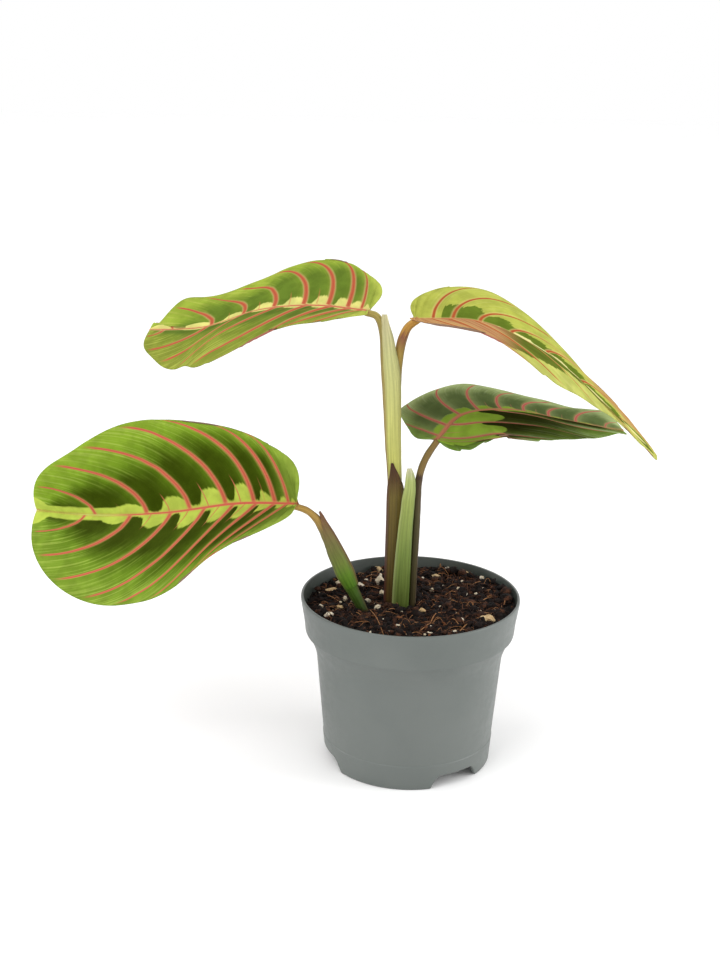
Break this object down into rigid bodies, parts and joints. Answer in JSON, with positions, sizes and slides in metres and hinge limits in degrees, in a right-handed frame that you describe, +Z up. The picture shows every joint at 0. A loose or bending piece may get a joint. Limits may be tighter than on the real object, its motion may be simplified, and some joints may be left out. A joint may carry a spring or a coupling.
{
  "type": "potted_plant",
  "caption": "Young prayer plant with broad drooping blades, red herringbone veins and sheathed stalks, in a small grey nursery pot filled with dark peat mix",
  "frame": {"origin": "middle of the bounding box, on the surface the pot stands on", "axes": "+Z up, +X to the right along the spread of the blades, -Y towards the viewer of the picture"},
  "size_m": [0.2592, 0.1022, 0.2034],
  "materials": {
    "pot_plastic": "satin",
    "peat_mix": "rough, damp",
    "blade_mid": "satin",
    "blade_pale": "satin",
    "blade_dark": "satin",
    "stalk": "satin",
    "sheath": "satin"
  },
  "bodies": {
    "root": {"pot": "pot_plastic", "potting_mix": "peat_mix", "leaf_lower_left": "blade_mid", "leaf_upper_left": "blade_mid", "leaf_upper_right": "blade_pale", "leaf_lower_right": "blade_dark", "stalk_lower_left": "stalk", "stalk_upper_left": "sheath", "stalk_upper_right": "stalk", "stalk_lower_right": "stalk", "sheath_lower_right": "sheath", "sheath_brown": "sheath"}
  },
  "joints": []
}
